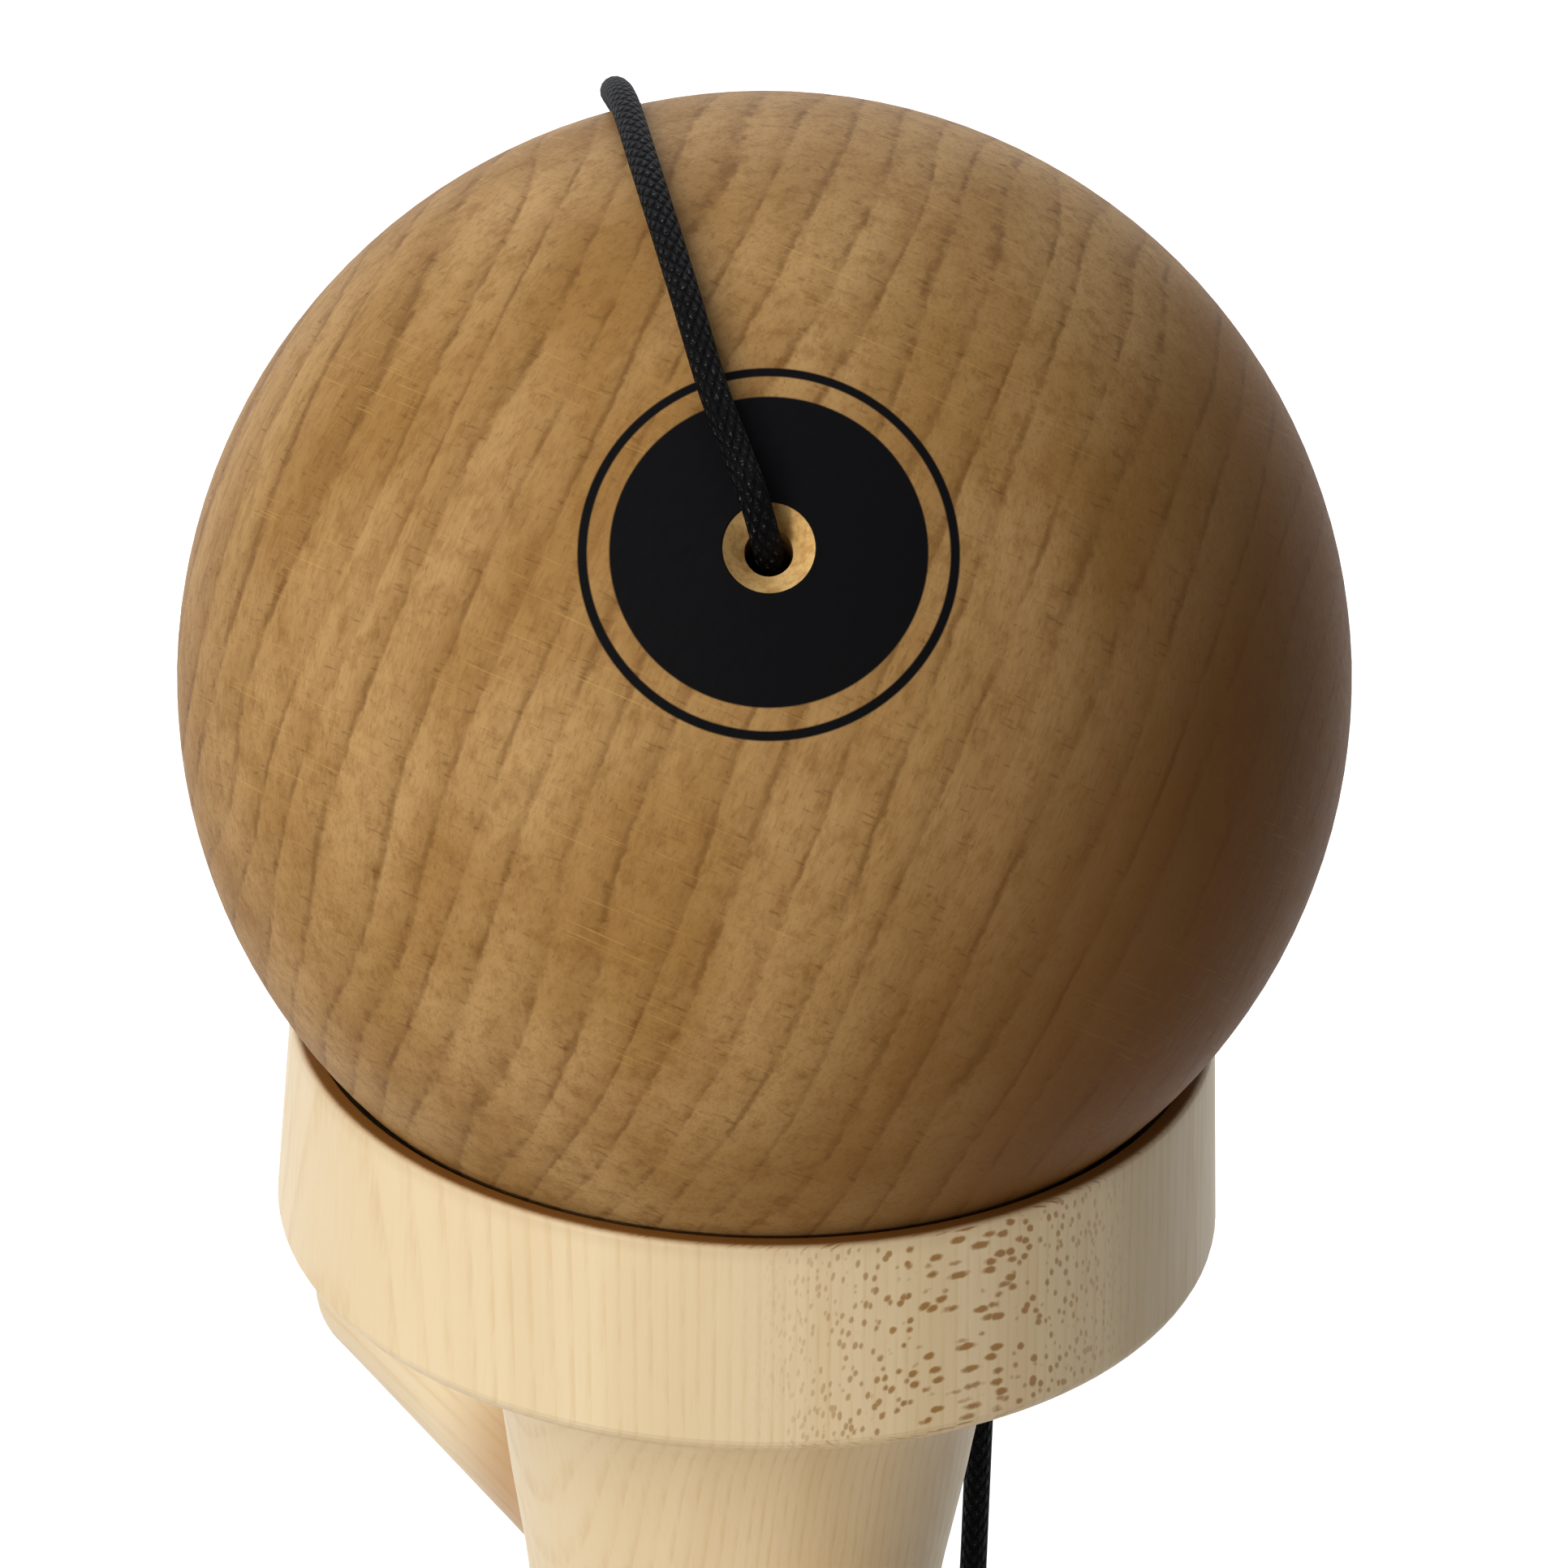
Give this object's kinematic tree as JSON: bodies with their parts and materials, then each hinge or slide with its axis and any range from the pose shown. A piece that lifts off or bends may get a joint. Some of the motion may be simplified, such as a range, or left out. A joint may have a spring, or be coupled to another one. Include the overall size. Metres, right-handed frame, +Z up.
{
  "type": "cup and ball toy",
  "caption": "Wooden cup and ball toy: a drilled ball on a string rests in the big cup of a crosspiece pushed onto a spiked handle.",
  "frame": {"origin": "centre of the small cup's rim, which the toy stands on", "axes": "+Z up the crosspiece towards the big cup and the ball, +Y along the handle towards the spike's tip, +X to the side away from where the string enters the crosspiece"},
  "size_m": [0.06, 0.14, 0.1203],
  "materials": {
    "maple": "satin lacquered maple",
    "ball_wood": "satin lacquered walnut",
    "string": "braided, matt",
    "bead": "plain wood",
    "tie": "matt"
  },
  "bodies": {
    "stand": {"cup_crosspiece": "maple", "handle": "maple", "handle_knot": "string", "string_fall": "string", "string_coil": "string", "coil_tie": "tie", "string_rise": "string"},
    "string_end": {"ball_bead": "bead", "ball_knot": "string", "string_over_ball": "string"},
    "ball": {"ball": "ball_wood"}
  },
  "joints": [
    {"name": "ball_lift", "type": "slide", "parent": "stand", "child": "string_end", "axis": [0, 0, 1], "range_m": [0, 0.27], "deforming": ["string_fall"]},
    {"name": "ball_spin", "type": "hinge", "parent": "string_end", "child": "ball", "pos_m": [0, 0, 0.08953], "axis": [-0.3928, -0.6537, 0.6468], "continuous": true}
  ]
}
